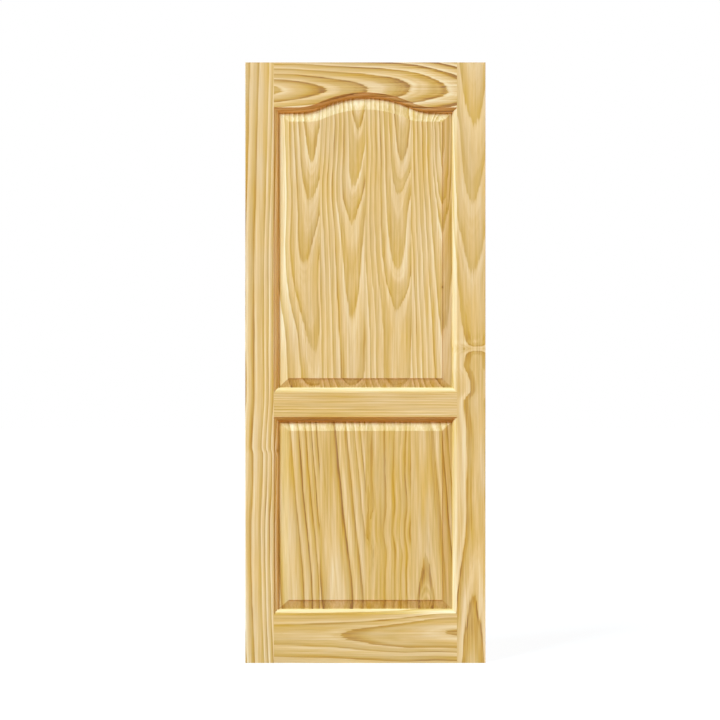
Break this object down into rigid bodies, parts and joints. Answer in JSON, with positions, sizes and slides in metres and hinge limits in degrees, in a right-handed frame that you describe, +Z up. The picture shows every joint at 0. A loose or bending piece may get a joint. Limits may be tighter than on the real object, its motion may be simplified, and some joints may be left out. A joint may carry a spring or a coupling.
{
  "type": "exterior door leaf",
  "caption": "Solid pine stile-and-rail exterior door leaf with raised panels, the upper one under an arched top rail, unhung and without hardware.",
  "frame": {"origin": "on the hinge edge of the leaf, at its foot and in the middle of its thickness", "axes": "+X from the hinge edge to the lock edge, +Z up the leaf, -Y out of the face that the picture shows"},
  "size_m": [0.8, 0.045, 2],
  "materials": {
    "stile_pine": "sanded, unvarnished softwood",
    "rail_pine": "sanded, unvarnished softwood",
    "panel_pine": "sanded, unvarnished softwood",
    "dowel_pine": "sanded, unvarnished softwood"
  },
  "bodies": {
    "root": {"bottom_rail": "rail_pine", "bottom_rail_left_dowel_1": "dowel_pine", "bottom_rail_left_dowel_2": "dowel_pine", "bottom_rail_left_dowel_3": "dowel_pine", "bottom_rail_right_dowel_1": "dowel_pine", "bottom_rail_right_dowel_2": "dowel_pine", "bottom_rail_right_dowel_3": "dowel_pine", "left_stile": "stile_pine", "lock_rail": "rail_pine", "lock_rail_left_dowel_1": "dowel_pine", "lock_rail_left_dowel_2": "dowel_pine", "lock_rail_right_dowel_1": "dowel_pine", "lock_rail_right_dowel_2": "dowel_pine", "lower_panel_stave_1": "panel_pine", "lower_panel_stave_2": "panel_pine", "lower_panel_stave_3": "panel_pine", "lower_panel_stave_4": "panel_pine", "right_stile": "stile_pine", "top_rail": "rail_pine", "top_rail_left_dowel_1": "dowel_pine", "top_rail_left_dowel_2": "dowel_pine", "top_rail_right_dowel_1": "dowel_pine", "top_rail_right_dowel_2": "dowel_pine", "upper_panel_stave_1": "panel_pine", "upper_panel_stave_2": "panel_pine", "upper_panel_stave_3": "panel_pine", "upper_panel_stave_4": "panel_pine"}
  },
  "joints": []
}
